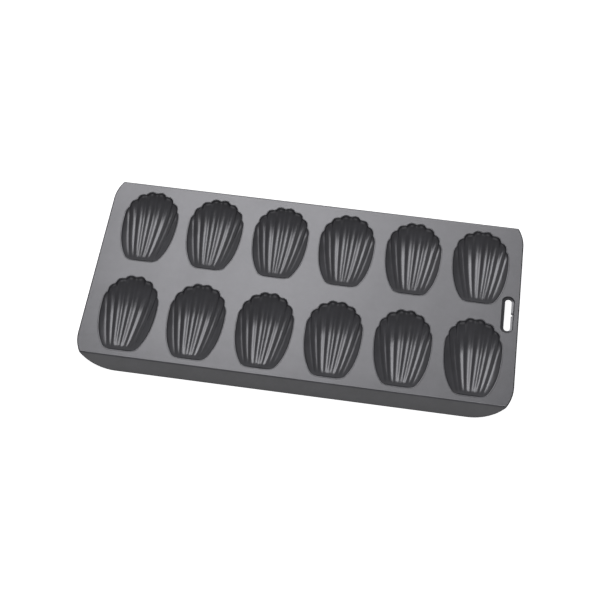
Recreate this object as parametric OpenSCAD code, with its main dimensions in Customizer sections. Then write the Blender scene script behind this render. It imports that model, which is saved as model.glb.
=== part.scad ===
// Madeleine pan pressed from one sheet of dark non-stick steel.
// Two rows of six shell-shaped cups hang below a flat deck, and the deck's
// front and rear edges fold down into skirts that the pan stands on.
// The origin is on the table, midway under the deck. +X is the long way,
// -Y is the front and +Z is up.

/* [Tray] */
// Overall length of the tray, left to right
tray_len = 400; // [398:1:430]
// Height of the deck's top face above the table
tray_h = 18; // [15:0.5:19]
// Thickness of the sheet
sheet = 0.8; // [0.6:0.1:1]
// Lean of the front and rear skirts away from upright, in degrees
flare = 19.5; // [5:0.5:35]
// Corner radius of the flat blank that the tray is folded from
corner_r = 38.6; // [30:0.2:45]
// Inside radius of the folds
fold_r = 1.2; // [0.8:0.1:2.5]

/* [Cups] */
// Distance from the tray's left or right end to the middle of the cups next to it
end_margin = 40; // [38:0.5:44]
// Web left between the front row's wide ends and the rear row's narrow ends
row_gap = 19.2; // [10:0.1:25]
// Web left between either row of cups and the fold beside it, where the rows sit midway
fold_margin = 8.55; // [7:0.05:20]
// Depth of a cup on the crest of its middle ridge
cup_depth = 7.4; // [6:0.1:9.5]
// Length of a cup's mouth, inside the rounded lip
cup_len = 76.8; // [70:0.1:84]
// Width of the web left between neighbouring cups in a row, from mouth to mouth
cup_web = 11.4; // [10:0.1:16]
// Width of a cup's blunt narrow end
cup_tip_w = 30; // [24:0.2:34]
// Depth of the flutes at the narrow end, below the ridges between them
flute_near = 0.36; // [0.2:0.02:1]
// Depth of the flutes on the floor next to the wide end's wall
flute_mid = 1.04; // [0.6:0.02:1.4]
// Depth of the flutes at the top of the wide end's wall
flute_far = 2.2; // [1.4:0.1:2.6]
// Width of the rounded lip round each cup's mouth
lip_w = 1.2; // [0.8:0.1:1.6]
// Drop of the rounded lip below the deck
lip_drop = 0.35; // [0.2:0.05:0.8]

/* [Hanging slot] */
// Length of the slot, front to rear
slot_len = 33; // [28:0.5:38]
// Width of the slot
slot_w = 6; // [5.4:0.2:8]
// Distance from the tray's right edge to the middle of the slot
slot_edge = 10.3; // [10:0.1:12]
// Width of the sunk ledge round the slot
ledge_w = 3; // [1.8:0.1:3.2]
// Depth that the ledge is pressed below the deck
ledge_drop = 1.2; // [0.8:0.1:2]
// Radius of the thumb notch in the slot's outer side
notch_r = 1.2; // [0.8:0.1:1.5]

/* [Hidden] */
columns = 6;
rows = ["front", "rear"];
flutes = 8;

// The fold: the sheet turns from level to the skirt's slope
half_len = tray_len / 2;
row_pitch = cup_len + row_gap;
fold_y = row_pitch / 2 + cup_len / 2 + fold_margin;
turn = 90 - flare;
outer_r = fold_r + sheet;
setback = outer_r * tan(turn / 2);
skirt_len = tray_h / cos(flare);
fold_saving = 2 * setback - (fold_r + sheet / 2) * turn * PI / 180;
foot_y = fold_y + tray_h * tan(flare);
foot_w = sheet / cos(flare);
fold_steps = 14;
corner_x = half_len - corner_r;
deck_corner_y = fold_y + skirt_len - fold_saving - corner_r;

// Places of the cups and the slot: the cups sit a little in front of the rows' mid-lines
cup_pitch = (tray_len - 2 * end_margin) / (columns - 1);
cup_w = cup_pitch - cup_web;
cup_shift = 0.85;
row_offset = 1.7;
slot_x = half_len - slot_edge;
slot_y = -0.9;
ledge_shift = -0.25;
ledge_wall = 0.8;
ledge_half = slot_w / 2 + ledge_w;
ledge_len = slot_len + 2 * ledge_w;

// The cup's plan: a blunt narrow end, straight-ish sides and a wide round end
round_turn = 22.3;
round_ease = -0.55;
round_power = 0.8;
round_mid = 0.475 * cup_len;
round_rise = cup_len - round_mid;
tip_lift = 0.031 * cup_len;
belly_y = 0.5 * cup_len;
belly_back = 0.28 * cup_len;
belly_in = 0.815;
belly_power = 12;

// The cup's section: a knee near the narrow end, then a long even floor
knee_at = 0.102;
knee_share = 0.59;
floor_at = 0.605;
wall_round = 1.62;
side_power = 2.72;
side_round = 2.8;
edge_share = 0.27;
edge_power = 10;

// The flutes: they fade out at the narrow end and on the outer walls, and the ridges
// between them get sharper towards the wide end
ridge_near = 0.66;
ridge_far = 0.3;
flute_start = 0.13;
flute_rise = 12;
side_fade = 2.1;

// The grid that a cup is drawn on: four steps per flute, closer near both ends
flute_steps = 4;
step_u = 1 / flute_steps;
last_u = flutes / 2;
us = [for (u = [-last_u : step_u : last_u]) u];
ts = [0, 0.03, 0.08, 0.17, 0.32, 0.5, 0.68, 0.83, 0.94, 1];
nu = len(us);
nt = len(ts);
tiny = 0.001;
edge_u = 0.02;
edge_t = 0.006;

// Point of the plain cup, without its flutes, at u across and t along
function plain(u, t) =
    let(
        h = abs(u) / last_u,
        turned = round_turn * u + round_ease * u * abs(u),
        tip = [cup_tip_w / 2 * u / last_u, tip_lift * pow(h, 5)],
        far = [cup_w / 2 * sin(turned), round_mid + round_rise * pow(cos(turned), round_power)],
        pull = [
            far.x * (belly_in + (1 - belly_in) * pow(h, belly_power)),
            belly_y - belly_back * h * h
        ],
        plan = (1 - t) * (1 - t) * tip + 2 * t * (1 - t) * pull + t * t * far
    )
    [plan.x, plan.y, -(cup_depth - lip_drop) * along(t) * across(h)];

// Share of the full depth along the cup, from the narrow end to the wide one
function along(t) =
    let(
        knee = max(0, 1 - t / knee_at),
        slope = max(0, 1 - t / floor_at),
        wall = max(0, (t - floor_at) / (1 - floor_at)),
        near = knee_share * sqrt(1 - knee * knee) + (1 - knee_share) * (1 - slope * slope)
    )
    near * sqrt(max(0, 1 - pow(wall, wall_round)));

// Share of the full depth across the cup, from the middle to either side: a bowl with a
// small steep wall at its edge
function across(h) =
    (1 - edge_share) * pow(max(0, 1 - pow(h, side_power)), side_round)
    + edge_share * sqrt(max(0, 1 - pow(h, edge_power)));

// Rounded wave of the flutes: nought on each ridge and one in each flute
function wave(u, t) =
    let(bend = ridge_near + (ridge_far - ridge_near) * t)
    (sqrt(pow(sin(180 * u), 2) + bend * bend) - bend) / (sqrt(1 + bend * bend) - bend);

// Depth of the flutes at u across and t along: it grows evenly along the floor and
// then quickly up the wide end's wall
function flute_depth(u, t) =
    let(
        floor_depth = flute_near + (flute_mid - flute_near) * t,
        wall_depth = (flute_far - flute_mid) * pow(t, flute_rise),
        near_fade = 1 - exp(-pow(t / flute_start, 2)),
        outer_fade = 1 - pow(abs(u) / last_u, side_fade)
    )
    (floor_depth + wall_depth) * near_fade * outer_fade;

function clamp(value, low, high) = min(high, max(low, value));

function unit(v) = v / norm(v);

// Outward direction, down and away, on the plain cup
function plain_out(u, t) =
    let(
        cu = clamp(u, edge_u - last_u, last_u - edge_u),
        ct = clamp(t, edge_t, 1 - edge_t),
        du = plain(cu + tiny, ct) - plain(cu - tiny, ct),
        dt = plain(cu, ct + tiny) - plain(cu, ct - tiny)
    )
    -unit(cross(du, dt));

// Point of the fluted inner face, below the lip
function inner(u, t) =
    plain(u, t) + wave(u, t) * flute_depth(u, t) * plain_out(u, t) - [0, 0, lip_drop];

// Outward direction on the fluted face
function fluted_out(u, t) =
    let(
        cu = clamp(u, edge_u - last_u, last_u - edge_u),
        ct = clamp(t, edge_t, 1 - edge_t),
        du = inner(cu + tiny, ct) - inner(cu - tiny, ct),
        dt = inner(cu, ct + tiny) - inner(cu, ct - tiny)
    )
    -unit(cross(du, dt));

// Way round a cup's edge as pairs of grid places, left to right at the narrow end first
edge_places = concat(
    [for (i = [0 : nu - 1]) [i, 0]],
    [for (j = [1 : nt - 2]) [nu - 1, j]],
    [for (i = [nu - 1 : -1 : 0]) [i, nt - 1]],
    [for (j = [nt - 2 : -1 : 1]) [0, j]]
);
edge_count = len(edge_places);

// Outward direction in plan at one place on the edge
function edge_out(k) =
    let(
        before = edge_places[(k + edge_count - 1) % edge_count],
        after = edge_places[(k + 1) % edge_count],
        way = plain(us[after.x], ts[after.y]) - plain(us[before.x], ts[before.y])
    )
    unit([way.y, -way.x]);

// Outline of a cup's mouth in the deck, outside the lip
mouth = [
    for (k = [0 : edge_count - 1])
        let(place = edge_places[k], rim = inner(us[place.x], ts[place.y]))
        [rim.x, rim.y] + lip_w * edge_out(k)
];

// Points of one cup: inner face, outer face, then the mouth above and below
inner_points = [for (t = ts) for (u = us) inner(u, t)];
outer_points = [for (t = ts) for (u = us) inner(u, t) + sheet * fluted_out(u, t)];
mouth_top = [for (p = mouth) [p.x, p.y, 0]];
mouth_under = [for (p = mouth) [p.x, p.y, -sheet]];
cup_points = concat(inner_points, outer_points, mouth_top, mouth_under);
outer_start = nu * nt;
top_start = 2 * outer_start;
under_start = top_start + edge_count;

// Two triangles for each cell of a grid, facing one way or the other
function grid_faces(start, flip) = [
    for (j = [0 : nt - 2]) for (i = [0 : nu - 2])
        let(
            a = start + j * nu + i,
            b = a + 1,
            c = b + nu,
            d = a + nu
        )
        each flip ? [[a, b, c], [a, c, d]] : [[a, c, b], [a, d, c]]
];

// Two triangles for each step round a band between two closed rows of points
function band_faces(first, second) = [
    for (k = [0 : edge_count - 1])
        let(n = (k + 1) % edge_count)
        each [[first[k], first[n], second[k]], [first[n], second[n], second[k]]]
];

inner_edge = [for (place = edge_places) place.y * nu + place.x];
outer_edge = [for (k = inner_edge) k + outer_start];
top_edge = [for (k = [0 : edge_count - 1]) top_start + k];
under_edge = [for (k = [0 : edge_count - 1]) under_start + k];

cup_faces = concat(
    grid_faces(0, false),
    grid_faces(outer_start, true),
    band_faces(inner_edge, top_edge),
    band_faces(top_edge, under_edge),
    band_faces(under_edge, outer_edge)
);

// Where a cup's narrow end lies on the deck
function cup_place(row, column) = [
    (column - (columns + 1) / 2) * cup_pitch + cup_shift,
    (row == "front" ? -0.5 : 0.5) * row_pitch - row_offset - cup_len / 2
];

// Slot or ledge outline: a bar with round ends, along Y
module round_bar(length, width) {
    straight = length - width;
    square([width, straight], center = true);
    for (end = [-1, 1])
        translate([0, end * straight / 2])
            circle(d = width, $fn = 48);
}

module ledge_outline(inset = 0) {
    translate([slot_x + ledge_shift, slot_y])
        round_bar(ledge_len - 2 * inset, 2 * (ledge_half - inset));
}

// The folded blank's outline, with round corners and an open strip of depth 2 * reach
module blank(corner_y, reach) {
    square([2 * corner_x, 2 * reach], center = true);
    square([tray_len, 2 * corner_y], center = true);
    for (side = [-1, 1])
        for (end = [-1, 1])
            translate([side * corner_x, end * corner_y])
                circle(corner_r, $fn = 96);
}

module deck_outline() {
    intersection() {
        blank(deck_corner_y, deck_corner_y + corner_r);
        square([2 * tray_len, 2 * (fold_y - setback)], center = true);
    }
}

// Flat plate with twelve cup mouths and the place of the slot's ledge cut out
module deck() {
    color("#8f9192")
        translate([0, 0, tray_h - sheet])
            linear_extrude(sheet)
                difference() {
                    deck_outline();
                    ledge_outline();
                    for (row = rows)
                        for (column = [1 : columns])
                            translate(cup_place(row, column))
                                polygon(mouth);
                }
}

// Points along the fold at one radius, from level (0) to the skirt's slope (1) or back
function fold_arc(radius, from, to) = [
    for (step = [0 : fold_steps])
        let(angle = 90 - turn * (from + (to - from) * step / fold_steps))
        [fold_y - setback, tray_h - outer_r] + radius * [cos(angle), sin(angle)]
];

// Section through the rear skirt: the fold, then the sloping leg cut level at the foot
module skirt_section() {
    polygon(concat(
        fold_arc(outer_r, 0, 1),
        [[foot_y, 0], [foot_y - foot_w, 0]],
        fold_arc(fold_r, 1, 0)
    ));
}

// Skirt at the rear, with its ends rounded by the blank's corners
module skirt() {
    color("#4c4e50")
        difference() {
            rotate([90, 0, 90])
                linear_extrude(tray_len, center = true)
                    skirt_section();
            for (side = [0, 1])
                mirror([side, 0, 0])
                    translate([corner_x, fold_y, tray_h])
                        rotate([-turn, 0, 0])
                            linear_extrude(4 * outer_r, center = true)
                                outside_corner();
        }
}

// What the blank's round corner leaves out, in the skirt's plane with Y down the skirt
module outside_corner() {
    over = corner_r + outer_r;
    translate([0, skirt_len - corner_r])
        difference() {
            square(over);
            circle(corner_r, $fn = 96);
        }
}

module front_skirt() {
    mirror([0, 1, 0])
        skirt();
}

module rear_skirt() {
    skirt();
}

// Sunk ledge round the hanging slot, with its wall up to the deck
module slot_rim() {
    color("#6d6f71") {
        translate([0, 0, tray_h - ledge_drop - sheet])
            linear_extrude(ledge_drop + sheet)
                difference() {
                    ledge_outline();
                    ledge_outline(inset = ledge_wall);
                }
        translate([0, 0, tray_h - ledge_drop - sheet])
            linear_extrude(sheet)
                difference() {
                    ledge_outline(inset = ledge_wall / 2);
                    translate([slot_x, slot_y])
                        round_bar(slot_len, slot_w);
                    translate([slot_x + slot_w / 2, slot_y])
                        circle(notch_r, $fn = 32);
                }
    }
}

// One shell-shaped cup with fluted walls
module shell_cup(row, column) {
    place = cup_place(row, column);
    color("#3d3f41")
        translate([place.x, place.y, tray_h])
            polyhedron(points = cup_points, faces = cup_faces, convexity = 6);
}

deck();
front_skirt();
rear_skirt();
slot_rim();
for (row = rows)
    for (column = [1 : columns])
        shell_cup(row, column);
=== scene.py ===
"""Madeleine pan: the pressed sheet at full detail, its coating, the light and the camera.

Shapes are worked out in millimetres in the frame's own axes and turned into metres
when a mesh is made. The pan stands on the table at z = 0, the front is -Y.
"""
import math

import bmesh
import bpy
import numpy as np
from mathutils import Matrix, Quaternion, Vector


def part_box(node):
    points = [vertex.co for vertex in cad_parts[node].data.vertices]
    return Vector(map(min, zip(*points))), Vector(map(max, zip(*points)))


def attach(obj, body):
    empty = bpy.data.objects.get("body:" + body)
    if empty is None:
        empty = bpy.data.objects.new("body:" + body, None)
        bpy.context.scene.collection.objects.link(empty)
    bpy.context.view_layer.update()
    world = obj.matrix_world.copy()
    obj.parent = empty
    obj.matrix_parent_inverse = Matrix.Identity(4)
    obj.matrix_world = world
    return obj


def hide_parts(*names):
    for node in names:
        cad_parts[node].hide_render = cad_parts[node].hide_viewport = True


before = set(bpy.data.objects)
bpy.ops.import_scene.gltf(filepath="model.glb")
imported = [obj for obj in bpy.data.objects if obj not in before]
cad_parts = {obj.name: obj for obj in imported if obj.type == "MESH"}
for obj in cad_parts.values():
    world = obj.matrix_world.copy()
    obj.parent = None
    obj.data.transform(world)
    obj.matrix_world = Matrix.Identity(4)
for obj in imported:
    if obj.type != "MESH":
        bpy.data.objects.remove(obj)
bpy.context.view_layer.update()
MM = 0.001

# Sizes taken from the frame
deck_low, deck_high = (np.array(corner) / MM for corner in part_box("deck"))
skirt_high = np.array(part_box("rear_skirt")[1]) / MM
HALF_LEN = deck_high[0]
TOP = deck_high[2]
SHEET = deck_high[2] - deck_low[2]
FOOT_Y = skirt_high[1]

# The folded blank
FLARE = math.radians(19.5)
TURN = math.pi / 2 - FLARE
FOLD_R = 0.5
OUTER_R = FOLD_R + SHEET
FOLD_Y = FOOT_Y - TOP * math.tan(FLARE)
SETBACK = OUTER_R * math.tan(TURN / 2)
ARC_LEN = (FOLD_R + SHEET / 2) * TURN
EDGE_R = SHEET / 2
EDGE_ROLL = 0.9
ROLL_RISE = EDGE_ROLL * math.cos(FLARE)
ROLL_DIP = EDGE_R * math.sin(FLARE)
FOOT_TRIM = (ROLL_DIP + math.hypot(ROLL_RISE, ROLL_DIP) - ROLL_RISE) / math.cos(FLARE)
LEG_LEN = TOP / math.cos(FLARE) - SETBACK - FOOT_TRIM
CORNER_R = 38.6
FLAT_END = FOLD_Y - SETBACK
EDGE_BLEND = 0.4
EDGE_STEPS = 6
# Material slots: the coating, and the nearly black edge material painted as shade along the sheet's cut
# edges
COAT = 0
EDGE_SHADE = 1

# The cups
ROWS = ("front", "rear")
COLUMNS = range(1, 7)
RIDGE_SPAN = 4
CUP_DEPTH = 7.4
CUP_LEN = 76.8
CUP_W = 52.6
CUP_TIP_W = 30.0
FLUTE_NEAR = 0.36
FLUTE_MID = 1.04
FLUTE_FAR = 2.2
LIP_W = 0.8
LIP_DROP = 0.35
COLLAR = 0.4
MOUTH_W = LIP_W + COLLAR
ROUND_TURN = 22.3
ROUND_EASE = -0.55
ROUND_POWER = 0.8
ROUND_MID = 0.475 * CUP_LEN
ROUND_RISE = CUP_LEN - ROUND_MID
TIP_LIFT = 0.031 * CUP_LEN
BELLY_Y = 0.5 * CUP_LEN
BELLY_BACK = 0.28 * CUP_LEN
BELLY_IN = 0.815
BELLY_POWER = 12
KNEE_AT = 0.102
KNEE_SHARE = 0.59
FLOOR_AT = 0.605
WALL_ROUND = 1.62
SIDE_POWER = 2.72
SIDE_ROUND = 2.8
EDGE_SHARE = 0.27
EDGE_POWER = 10
RIDGE_NEAR = 0.66
RIDGE_FAR = 0.3
RIDGE_OUTER = 1.5
RIDGE_LEAST = 0.1
FLUTE_START = 0.13
FLUTE_RISE = 12
SIDE_FADE = 3.2
STEPS_ACROSS = 12 * 2 * RIDGE_SPAN
STEPS_ALONG = 72
LIP_STEPS = 6

# The hanging slot
SLOT_X = HALF_LEN - 10.3
SLOT_Y = -0.9
SLOT_LEN = 33.0
SLOT_W = 6.0
LEDGE_SHIFT = -0.25
LEDGE_W = 3.0
LEDGE_DROP = 1.2
LEDGE_COLLAR = 0.15
LEDGE_WALL = 0.55
LEDGE_STEPS = 10
HOLE_R = 0.2
NOTCH_R = 1.2


def add_piece(name, points, faces, flat_faces=(), cut=()):
    """Make a mesh object from points in millimetres, smooth but for the faces named flat.

    cut holds the places of the points that lie on the sheet's cut edge; faces touching them take the
    nearly black edge material, which is painted shade.
    """
    mesh = bpy.data.meshes.new(name)
    mesh.from_pydata((np.asarray(points) * MM).tolist(), [], [list(face) for face in faces])
    smooth = np.ones(len(mesh.polygons), dtype=bool)
    smooth[list(flat_faces)] = False
    mesh.polygons.foreach_set("use_smooth", smooth)
    cut = set(cut)
    # Faces on the cut edge get the edge material, whose near-black colour is painted shade
    mesh.polygons.foreach_set("material_index", [COAT if cut.isdisjoint(face) else EDGE_SHADE for face in faces])
    mesh.validate()
    piece = bpy.data.objects.new(name, mesh)
    bpy.context.scene.collection.objects.link(piece)
    return piece


# Cup shape


def plain_cup(u, t):
    """Inner face without its flutes, u ridges across from the middle and t along."""
    h = np.abs(u) / RIDGE_SPAN
    turned = np.radians(ROUND_TURN * u + ROUND_EASE * u * np.abs(u))
    tip_x = CUP_TIP_W / 2 * u / RIDGE_SPAN
    tip_y = TIP_LIFT * h**5
    far_x = CUP_W / 2 * np.sin(turned)
    far_y = ROUND_MID + ROUND_RISE * np.cos(turned) ** ROUND_POWER
    pull_x = far_x * (BELLY_IN + (1 - BELLY_IN) * h**BELLY_POWER)
    pull_y = BELLY_Y - BELLY_BACK * h**2
    x = (1 - t) ** 2 * tip_x + 2 * t * (1 - t) * pull_x + t**2 * far_x
    y = (1 - t) ** 2 * tip_y + 2 * t * (1 - t) * pull_y + t**2 * far_y
    return np.stack([x, y, -(CUP_DEPTH - LIP_DROP) * along(t) * across(h)], axis=-1)


def along(t):
    """Share of the full depth, from the narrow end to the wide one."""
    knee = np.clip(1 - t / KNEE_AT, 0, 1)
    slope = np.clip(1 - t / FLOOR_AT, 0, 1)
    wall = np.clip((t - FLOOR_AT) / (1 - FLOOR_AT), 0, 1)
    near = KNEE_SHARE * np.sqrt(1 - knee**2) + (1 - KNEE_SHARE) * (1 - slope**2)
    return near * np.sqrt(np.clip(1 - wall**WALL_ROUND, 0, 1))


def across(h):
    """Share of the full depth, from the middle to either side."""
    bowl = np.clip(1 - h**SIDE_POWER, 0, 1) ** SIDE_ROUND
    wall = np.sqrt(np.clip(1 - h**EDGE_POWER, 0, 1))
    return (1 - EDGE_SHARE) * bowl + EDGE_SHARE * wall


def wave(u, t):
    """Nought on each ridge and one in each flute, with sharper ridges towards the wide end."""
    blunt = np.clip(1 - RIDGE_OUTER * (u / RIDGE_SPAN) ** 2, RIDGE_LEAST, 1)
    bend = (RIDGE_NEAR + (RIDGE_FAR - RIDGE_NEAR) * t) * blunt
    rounded = np.sqrt(np.sin(np.pi * u) ** 2 + bend**2) - bend
    return rounded / (np.sqrt(1 + bend**2) - bend)


def flute_depth(u, t):
    """Depth of the flutes, which fade out at the narrow end and on the two outer walls."""
    floor = FLUTE_NEAR + (FLUTE_MID - FLUTE_NEAR) * t
    far = (FLUTE_FAR - FLUTE_MID) * t**FLUTE_RISE
    near = 1 - np.exp(-((t / FLUTE_START) ** 2))
    outer = 1 - (np.abs(u) / RIDGE_SPAN) ** SIDE_FADE
    return (floor + far) * near * outer


def inner_face(u, t):
    """Fluted inner face below the lip."""
    tiny = 0.001
    cu = np.clip(u, 0.02 - RIDGE_SPAN, RIDGE_SPAN - 0.02)
    ct = np.clip(t, 0.006, 0.994)
    du = plain_cup(cu + tiny, ct) - plain_cup(cu - tiny, ct)
    dt = plain_cup(cu, ct + tiny) - plain_cup(cu, ct - tiny)
    out = -np.cross(du, dt)
    out /= np.linalg.norm(out, axis=-1, keepdims=True)
    depth = (wave(u, t) * flute_depth(u, t))[..., None]
    return plain_cup(u, t) + depth * out - np.array([0, 0, LIP_DROP])


def edge_loop(rows, columns):
    """Places round the edge of a grid, counterclockwise from the near left corner."""
    near = [(0, i) for i in range(columns)]
    right = [(j, columns - 1) for j in range(1, rows - 1)]
    far = [(rows - 1, i) for i in range(columns - 1, -1, -1)]
    left = [(j, 0) for j in range(rows - 2, 0, -1)]
    return near + right + far + left


def ring_normals(ring):
    """Outward direction in plan at each point of a counterclockwise ring."""
    way = np.roll(ring, -1, axis=0) - np.roll(ring, 1, axis=0)
    out = np.stack([way[:, 1], -way[:, 0]], axis=-1)
    return out / np.linalg.norm(out, axis=1, keepdims=True)


def grid_faces(start, rows, columns):
    """Quads of a grid, facing up."""
    faces = []
    for j in range(rows - 1):
        for i in range(columns - 1):
            a = start + j * columns + i
            faces.append((a, a + 1, a + 1 + columns, a + columns))
    return faces


def band_faces(inside, outside):
    """Quads between two rings, facing up where the second ring is the outer one."""
    count = len(inside)
    faces = []
    for k in range(count):
        n = (k + 1) % count
        faces.append((inside[k], outside[k], outside[n], inside[n]))
    return faces


def vertex_normals(points, faces):
    """Area-weighted normals of a mesh of quads."""
    quads = np.array(faces)
    cross = np.cross(points[quads[:, 2]] - points[quads[:, 0]], points[quads[:, 3]] - points[quads[:, 1]])
    normals = np.zeros_like(points)
    for corner in range(4):
        np.add.at(normals, quads[:, corner], cross)
    return normals / np.linalg.norm(normals, axis=1, keepdims=True)


def with_thickness(points, faces, rim):
    """Close an open upper face into sheet, with an underside and a wall at its rim."""
    normals = vertex_normals(points, faces)
    normals[rim] = (0, 0, 1)
    count = len(points)
    under = [tuple(k + count for k in reversed(face)) for face in faces]
    wall = band_faces(rim, [k + count for k in rim])
    return np.concatenate([points, points - SHEET * normals]), faces + under + wall


def build_cup_shape():
    """Upper face of one cup with its lip and collar: points, faces and the rim's places."""
    spread = np.linspace(0, 1, STEPS_ALONG + 1)
    t = 0.5 - 0.5 * np.cos(np.pi * spread)
    u = np.linspace(-RIDGE_SPAN, RIDGE_SPAN, STEPS_ACROSS + 1)
    uu, tt = np.meshgrid(u, t)
    grid = inner_face(uu, tt)
    rows, columns = tt.shape
    loop = edge_loop(rows, columns)
    at = tuple(np.array(loop).T)
    out = ring_normals(plain_cup(uu, tt)[at][:, :2])
    wall_top = grid[at]
    points = [grid.reshape(-1, 3)]
    faces = grid_faces(0, rows, columns)
    ring = [j * columns + i for j, i in loop]
    start = rows * columns
    corner = wall_top * (1, 1, 0)
    mouth = corner + LIP_W * np.column_stack([out, np.zeros(len(out))])
    for step in range(LIP_STEPS - 1, -1, -1):
        s = step / LIP_STEPS
        points.append((1 - s) ** 2 * mouth + 2 * s * (1 - s) * corner + s**2 * wall_top)
    points.append(mouth + COLLAR * np.column_stack([out, np.zeros(len(out))]))
    for _ in range(LIP_STEPS + 1):
        following = list(range(start, start + len(loop)))
        faces += band_faces(ring, following)
        ring = following
        start += len(loop)
    return np.concatenate(points), faces, ring


def cup_corner(row, column):
    """Where a cup's narrow end lies on the deck."""
    low, high = (np.array(corner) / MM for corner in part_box(f"shell_cup_{row}_{column}"))
    return np.array([(low[0] + high[0]) / 2, low[1] + MOUTH_W, TOP])


# Slot shape


def bar_loop(length, width, notch=0.0):
    """Outline of a bar with round ends, counterclockwise from the right side's near end."""
    reach = (length - width) / 2
    radius = width / 2
    side = np.concatenate([
        np.linspace(-reach, -NOTCH_R, 8, endpoint=False),
        -NOTCH_R * np.cos(np.linspace(0, math.pi, 17)),
        np.linspace(NOTCH_R, reach, 9)[1:],
    ])
    bulge = np.sqrt(np.clip(NOTCH_R**2 - side**2, 0, None)) * notch
    right = np.column_stack([radius + bulge, side])
    turn = np.linspace(0, math.pi, 25)[1:-1]
    far = np.column_stack([radius * np.cos(turn), reach + radius * np.sin(turn)])
    left = np.column_stack([-radius * np.ones_like(side), side[::-1]])
    near = -far
    return np.concatenate([right, far, left, near])


def build_slot_shape():
    """Ledge sunk round the slot: points, faces and the places of the outer rim."""
    outer = bar_loop(SLOT_LEN + 2 * LEDGE_W, SLOT_W + 2 * LEDGE_W)
    outer += (SLOT_X + LEDGE_SHIFT, SLOT_Y)
    inner = bar_loop(SLOT_LEN, SLOT_W, notch=1.0)
    inner += (SLOT_X, SLOT_Y)
    way = inner - outer
    reach = np.linalg.norm(way, axis=1, keepdims=True)
    way /= reach
    points = []

    def ring(offset_out, offset_in, z):
        place = outer + way * offset_out if offset_in is None else inner - way * offset_in
        points.append(np.column_stack([place, np.full(len(place), TOP + z)]))

    def wall(steps, lower):
        for step in steps:
            s = step / LEDGE_STEPS
            ring(LEDGE_COLLAR + LEDGE_WALL * s, None, -LEDGE_DROP * (3 * s**2 - 2 * s**3) - lower)

    ring(0, None, 0)
    wall(range(LEDGE_STEPS + 1), 0)
    for step in range(2 * EDGE_STEPS + 1):
        angle = math.pi * step / (2 * EDGE_STEPS)
        ring(0, HOLE_R * (1 - math.sin(angle)), -LEDGE_DROP - SHEET / 2 * (1 - math.cos(angle)))
    wall(range(LEDGE_STEPS, -1, -1), SHEET)
    ring(0, None, -SHEET)
    count = len(outer)
    rings = [list(range(k * count, (k + 1) * count)) for k in range(len(points))]
    faces = []
    for first, second in zip(rings, rings[1:] + rings[:1]):
        faces += band_faces(second, first)
    return np.concatenate(points), faces, outer


# Folded blank


def place_on_sheet(x, s, n):
    """Point of the folded sheet at x, s along the flat blank from its middle, n above the top face."""
    side = np.sign(s)
    d = np.abs(s) - FLAT_END
    angle = np.clip(d / ARC_LEN, 0, 1) * TURN
    radius = OUTER_R + n
    leg = np.clip(d - ARC_LEN, 0, None)
    y = FLAT_END + np.minimum(d, 0) + radius * np.sin(angle) + leg * math.sin(FLARE)
    z = TOP - OUTER_R + radius * np.cos(angle) - leg * math.cos(FLARE)
    return np.stack(np.broadcast_arrays(x, side * y, z), axis=-1)


BLANK_HALF = FLAT_END + ARC_LEN + LEG_LEN
CORNER_X = HALF_LEN - CORNER_R
CORNER_S = BLANK_HALF - CORNER_R


def edge_profile():
    """Rounded sheet edge as (way out from the blend line, height) from top to underside."""
    steps = np.linspace(0, math.pi, 2 * EDGE_STEPS + 1)
    return [(EDGE_ROLL * math.sin(a), EDGE_R * (math.cos(a) - 1)) for a in steps]


def skirt_arcs():
    """Right end of the rear skirt's outline: through the fold and down to the foot."""
    start_s = FLAT_END - EDGE_BLEND
    radius = CORNER_R - EDGE_ROLL
    first = math.asin((start_s - CORNER_S) / radius)
    fold_end = math.asin((FLAT_END + ARC_LEN - CORNER_S) / radius)
    flat_end = math.asin((FLAT_END - CORNER_S) / radius)
    angles = np.concatenate([
        [first],
        np.linspace(flat_end, fold_end, 13),
        np.linspace(fold_end, math.pi / 2, 24)[1:],
    ])
    ways = np.column_stack([np.cos(angles), np.sin(angles)])
    return np.array([CORNER_X, CORNER_S]) + radius * ways, ways


def build_skirt(side):
    """One folded skirt as closed sheet. side is 1 at the rear and -1 at the front."""
    outline, ways = skirt_arcs()
    rows = len(outline)
    blend = np.array([[x, s] for x, s in outline])
    left = blend * (-1, 1)
    points = []
    faces = []
    cut = []

    def add(x, s, n):
        points.append(place_on_sheet(x, side * s, n))
        return len(points) - 1

    top = [(add(*left[k], 0.0), add(*blend[k], 0.0)) for k in range(rows)]
    under = [(add(*left[k], -SHEET), add(*blend[k], -SHEET)) for k in range(rows)]
    for k in range(rows - 1):
        faces.append((top[k][0], top[k][1], top[k + 1][1], top[k + 1][0]))
        faces.append((under[k][1], under[k][0], under[k + 1][0], under[k + 1][1]))
    faces.append((top[0][1], top[0][0], under[0][0], under[0][1]))
    start_wall = len(faces) - 1
    profile = edge_profile()[1:-1]
    right_cols = []
    for k in range(rows):
        rounded = [add(*(blend[k] + out * ways[k]), n) for out, n in profile]
        # The rounded edge points mark faces for the nearly black edge material, painted shade
        cut += rounded
        right_cols.append([top[k][1]] + rounded + [under[k][1]])
    left_cols = []
    for k in range(rows):
        way = ways[k] * (-1, 1)
        rounded = [add(*(left[k] + out * way), n) for out, n in profile]
        cut += rounded
        left_cols.append([top[k][0]] + rounded + [under[k][0]])
    strip = right_cols + left_cols[::-1]
    for first, second in zip(strip, strip[1:]):
        for k in range(len(first) - 1):
            faces.append((first[k], first[k + 1], second[k + 1], second[k]))
    ends = [tuple(right_cols[0]), tuple(reversed(left_cols[0]))]
    faces += ends
    flat = [start_wall, len(faces) - 2, len(faces) - 1]
    if side < 0:
        faces = [tuple(reversed(face)) for face in faces]
    return np.array(points), faces, flat, cut


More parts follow.
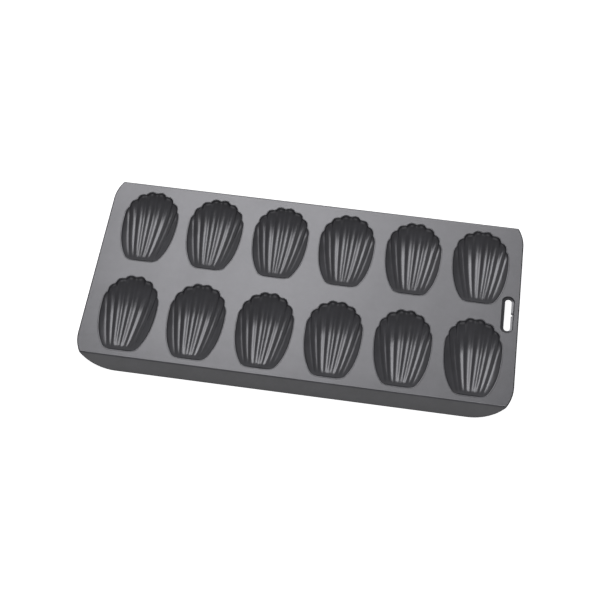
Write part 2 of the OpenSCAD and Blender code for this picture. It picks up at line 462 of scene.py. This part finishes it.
def deck_arc():
    """The deck's right side, from its middle to the fold: blend line and outward ways."""
    radius = CORNER_R - EDGE_ROLL
    last = math.asin((FLAT_END - EDGE_BLEND - CORNER_S) / radius)
    angles = np.linspace(0, last, 24)
    ways = np.column_stack([np.cos(angles), np.sin(angles)])
    return np.array([CORNER_X, CORNER_S]) + radius * ways, ways


def build_deck(holes):
    """The flat plate: its top and underside filled round the holes, its two ends rounded."""
    arc, ways = deck_arc()
    right = np.concatenate([(arc * (1, -1))[::-1], arc])
    right_ways = np.concatenate([(ways * (1, -1))[::-1], ways])
    left = right[::-1] * (-1, 1)
    left_ways = right_ways[::-1] * (-1, 1)
    outline = np.concatenate([right, left])
    bm = bmesh.new()

    def ring(plan, z):
        return [bm.verts.new((x * MM, y * MM, (TOP + z) * MM)) for x, y in plan]

    def loop_edges(verts):
        return [bm.edges.new((a, b)) for a, b in zip(verts, verts[1:] + verts[:1])]

    flat = []
    levels = []
    for z in (0.0, -SHEET):
        rings = [ring(outline, z)] + [ring(hole, z) for hole in holes]
        edges = [edge for one in rings for edge in loop_edges(one)]
        way = Vector((0, 0, 1 if z == 0 else -1))
        filled = bmesh.ops.triangle_fill(bm, use_beauty=True, edges=edges, normal=way)
        for item in filled["geom"]:
            if isinstance(item, bmesh.types.BMFace):
                flat.append(item)
                if item.normal.dot(way) < 0:
                    item.normal_flip()
        levels.append(rings)
    for over, below in zip(levels[0][1:], levels[1][1:]):
        for k in range(len(over)):
            n = (k + 1) % len(over)
            flat.append(bm.faces.new((over[k], over[n], below[n], below[k])))
    profile = edge_profile()[1:-1]
    half = len(right)
    top_edge, under_edge = levels[0][0], levels[1][0]
    for start, ways_here in ((0, right_ways), (half, left_ways)):
        columns = []
        for k in range(half):
            base = outline[start + k]
            column = [top_edge[start + k]]
            for out, n in profile:
                x, y = base + out * ways_here[k]
                column.append(bm.verts.new((x * MM, y * MM, (TOP + n) * MM)))
            columns.append(column + [under_edge[start + k]])
        for first, second in zip(columns, columns[1:]):
            for k in range(len(first) - 1):
                # The deck's rounded ends take the nearly black edge material, painted shade along the
                # sheet's edge
                bm.faces.new((first[k], first[k + 1], second[k + 1], second[k])).material_index = EDGE_SHADE
        flat.append(bm.faces.new(tuple(reversed(columns[0]))))
        flat.append(bm.faces.new(tuple(columns[-1])))
    for a, b in ((half - 1, half), (2 * half - 1, 0)):
        flat.append(bm.faces.new((top_edge[a], under_edge[a], under_edge[b], top_edge[b])))
    for face in bm.faces:
        face.smooth = True
    for face in flat:
        face.smooth = False
    mesh = bpy.data.meshes.new("deck_plate")
    bm.to_mesh(mesh)
    bm.free()
    piece = bpy.data.objects.new("deck_plate", mesh)
    bpy.context.scene.collection.objects.link(piece)
    return piece


# Materials


def coating():
    """Dark satin non-stick coating with a fine orange peel and faint mottling."""
    material = bpy.data.materials.new("nonstick_coating")
    material.use_nodes = True
    nodes = material.node_tree.nodes
    links = material.node_tree.links
    shader = nodes["Principled BSDF"]
    place = nodes.new("ShaderNodeTexCoord")

    def noise(scale, detail, roughness):
        node = nodes.new("ShaderNodeTexNoise")
        node.inputs["Scale"].default_value = scale
        node.inputs["Detail"].default_value = detail
        node.inputs["Roughness"].default_value = roughness
        links.new(place.outputs["Object"], node.inputs["Vector"])
        return node

    def spread(source, low, high):
        node = nodes.new("ShaderNodeMapRange")
        node.inputs["From Min"].default_value = 0.3
        node.inputs["From Max"].default_value = 0.7
        node.inputs["To Min"].default_value = low
        node.inputs["To Max"].default_value = high
        links.new(source.outputs["Fac"], node.inputs["Value"])
        return node

    mottle = noise(60, 4, 0.6)
    tone = nodes.new("ShaderNodeValToRGB")
    tone.color_ramp.elements[0].position = 0.3
    tone.color_ramp.elements[0].color = (0.026, 0.026, 0.028, 1)
    tone.color_ramp.elements[1].position = 0.7
    tone.color_ramp.elements[1].color = (0.036, 0.036, 0.039, 1)
    links.new(mottle.outputs["Fac"], tone.inputs["Fac"])
    links.new(tone.outputs["Color"], shader.inputs["Base Color"])
    gloss = spread(noise(25, 3, 0.5), 0.19, 0.22)
    links.new(gloss.outputs["Result"], shader.inputs["Roughness"])
    peel = noise(2200, 2, 0.5)
    bump = nodes.new("ShaderNodeBump")
    bump.inputs["Strength"].default_value = 0.12
    bump.inputs["Distance"].default_value = 0.00006
    links.new(peel.outputs["Fac"], bump.inputs["Height"])
    links.new(bump.outputs["Normal"], shader.inputs["Normal"])
    shader.inputs["IOR"].default_value = 1.5
    return material


def painted_shade_edge():
    """The sheet's sheared edge with fine marks of the shears, coloured nearly black with little gloss as
    painted shade along the pan's edges and foot.
    """
    material = bpy.data.materials.new("painted_shade_edge")
    material.use_nodes = True
    nodes = material.node_tree.nodes
    links = material.node_tree.links
    shader = nodes["Principled BSDF"]
    place = nodes.new("ShaderNodeTexCoord")
    marks = nodes.new("ShaderNodeTexNoise")
    marks.inputs["Scale"].default_value = 900
    marks.inputs["Detail"].default_value = 3
    links.new(place.outputs["Object"], marks.inputs["Vector"])
    tone = nodes.new("ShaderNodeValToRGB")
    tone.color_ramp.elements[0].color = (0.006, 0.006, 0.006, 1)
    tone.color_ramp.elements[1].color = (0.016, 0.016, 0.017, 1)
    links.new(marks.outputs["Fac"], tone.inputs["Fac"])
    links.new(tone.outputs["Color"], shader.inputs["Base Color"])
    shader.inputs["Roughness"].default_value = 0.75
    shader.inputs["Specular IOR Level"].default_value = 0.1
    return material


def floor_material():
    """Plain white paper that reads as white to the camera and keeps the pan's shadow."""
    material = bpy.data.materials.new("paper")
    material.use_nodes = True
    nodes = material.node_tree.nodes
    links = material.node_tree.links
    shader = nodes["Principled BSDF"]
    shader.inputs["Base Color"].default_value = (0.5, 0.5, 0.5, 1)
    shader.inputs["Roughness"].default_value = 0.9
    shader.inputs["Specular IOR Level"].default_value = 0.0
    path = nodes.new("ShaderNodeLightPath")
    scaled = nodes.new("ShaderNodeMath")
    scaled.operation = "MULTIPLY"
    scaled.inputs[1].default_value = 0.88
    seen = nodes.new("ShaderNodeMath")
    seen.operation = "MAXIMUM"
    links.new(path.outputs["Is Camera Ray"], seen.inputs[0])
    links.new(path.outputs["Is Glossy Ray"], seen.inputs[1])
    through = nodes.new("ShaderNodeMath")
    through.operation = "MAXIMUM"
    links.new(seen.outputs["Value"], through.inputs[0])
    links.new(path.outputs["Is Transmission Ray"], through.inputs[1])
    links.new(through.outputs["Value"], scaled.inputs[0])
    shader.inputs["Emission Color"].default_value = (1, 1, 1, 1)
    links.new(scaled.outputs["Value"], shader.inputs["Emission Strength"])
    return material


# Build the pan

cup_points, cup_faces, cup_rim = build_cup_shape()
cup_points, cup_faces = with_thickness(cup_points, cup_faces, cup_rim)
slot_points, slot_faces, slot_outline = build_slot_shape()

pieces = []
holes = []
for row in ROWS:
    for column in COLUMNS:
        corner = cup_corner(row, column)
        moved = cup_points + corner
        piece = add_piece(f"fluted_cup_{row}_{column}", moved, cup_faces)
        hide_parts(f"shell_cup_{row}_{column}")
        pieces.append(piece)
        holes.append(moved[cup_rim][:, :2])
holes.append(slot_outline)

deck = build_deck(holes)
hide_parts("deck")
pieces.append(deck)

ledge = add_piece("slot_ledge", slot_points, slot_faces)
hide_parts("slot_rim")
pieces.append(ledge)

for side, word in ((-1, "front"), (1, "rear")):
    points, faces, flat, cut = build_skirt(side)
    piece = add_piece(f"folded_skirt_{word}", points, faces, flat, cut)
    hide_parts(f"{word}_skirt")
    pieces.append(piece)

coat = coating()
# The sheared edges carry a nearly black, hardly glossy material: painted shade along the edges and at the
# foot
edge_shade = painted_shade_edge()
for piece in pieces:
    piece.data.materials.append(coat)
    if any(polygon.material_index == EDGE_SHADE for polygon in piece.data.polygons):
        piece.data.materials.append(edge_shade)
    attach(piece, "root")

# Floor, light and camera

bpy.ops.mesh.primitive_plane_add(size=60)
floor = bpy.context.object
floor.name = "floor"
floor.data.materials.append(floor_material())

DAYLIGHT = (0.99, 0.985, 1.03)
world = bpy.data.worlds.new("studio")
bpy.context.scene.world = world
world.use_nodes = True
world_nodes = world.node_tree.nodes
background = world_nodes["Background"]
background.inputs["Color"].default_value = (*DAYLIGHT, 1)
background.inputs["Strength"].default_value = 0.35


def softbox(name, bearing, elevation, distance, width, height, radiance, across=0.0):
    """Area lamp that looks level and square at the middle of the pan, or past it by across.

    bearing is clockwise from the rear, and across is to the right as seen from the front.
    """
    lamp = bpy.data.lights.new(name, "AREA")
    lamp.shape = "RECTANGLE"
    lamp.size = width
    lamp.size_y = height
    lamp.energy = radiance * math.pi * width * height
    lamp.color = DAYLIGHT
    light = bpy.data.objects.new(name, lamp)
    elevation = math.radians(elevation)
    turn = Matrix.Rotation(math.radians(-bearing), 4, "Z")
    place = Matrix.Translation((across, distance * math.cos(elevation), distance * math.sin(elevation)))
    light.matrix_world = turn @ place @ Matrix.Rotation(elevation - math.pi / 2, 4, "X")
    light.visible_camera = False
    bpy.context.scene.collection.objects.link(light)
    return light


for step, (across, width) in enumerate(((-0.5, 3.4), (-0.5, 2.3), (-0.7, 1.3))):
    softbox(f"key_{step}", 0, 57.1, 5 - 0.1 * step, width, height=1.9, radiance=2.55, across=across)
softbox("fill", bearing=0, elevation=27, distance=5.2, width=12, height=5, radiance=0.25, across=-2.6)
softbox("front_card", bearing=180, elevation=28, distance=5, width=6, height=4.5, radiance=0.9)
softbox("right_card", bearing=95, elevation=18, distance=5, width=5, height=3, radiance=0.3)

camera_data = bpy.data.cameras.new("camera")
camera = bpy.data.objects.new("camera", camera_data)
bpy.context.scene.collection.objects.link(camera)
bpy.context.scene.camera = camera
CAMERA_AT = Vector((0.08344, -0.5463, 0.9839))
CAMERA_TO = Vector((-0.00276, -0.013, 0.018))
CAMERA_ROLL = math.radians(-0.87)
camera_data.lens = 71.22
camera_data.sensor_width = 36
camera.location = CAMERA_AT
aim = (CAMERA_TO - CAMERA_AT).to_track_quat("-Z", "Y")
camera.rotation_euler = (aim @ Quaternion((0, 0, 1), CAMERA_ROLL)).to_euler()

bpy.context.scene.view_settings.view_transform = "Standard"
